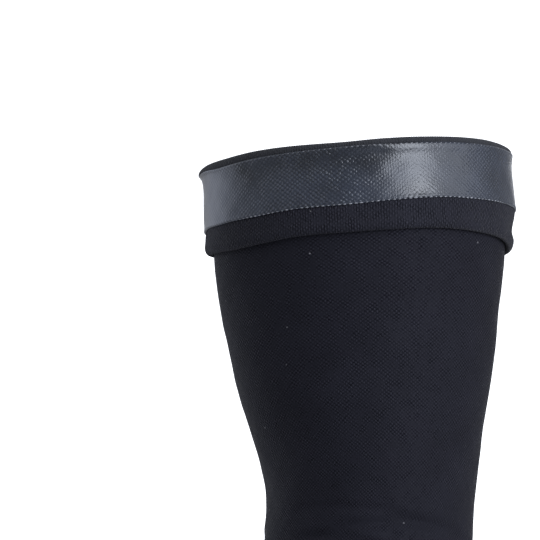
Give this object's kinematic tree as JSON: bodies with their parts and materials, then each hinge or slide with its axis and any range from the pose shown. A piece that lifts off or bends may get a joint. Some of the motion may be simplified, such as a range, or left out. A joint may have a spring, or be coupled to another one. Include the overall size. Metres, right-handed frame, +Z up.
{
  "type": "compression arm sleeve",
  "caption": "Seamless knitted compression arm sleeve in its worn form, with the silicone-coated top band turned down and a plain wrist welt.",
  "frame": {"origin": "on the arm's axis, at the middle of the grip film's height, where the arm holds the sleeve", "axes": "+Z up the arm to the turned edge, +X to the outer side of the arm, -Y to the front"},
  "size_m": [0.115, 0.1162, 0.3929],
  "materials": {
    "compression_knit": "fine matt near-black knit with a faint blue cast and raised inlay loops",
    "band_knit": "double layer of the same near-black knit, with its lengthwise ribs showing",
    "silicone_film": "glossy see-through silicone with the knit showing through",
    "welt_knit": "plain near-black knitted edge"
  },
  "bodies": {
    "root": {"sleeve_tube": "compression_knit", "turned_top_band": "band_knit", "silicone_grip_film": "silicone_film", "wrist_welt": "welt_knit"}
  },
  "joints": []
}
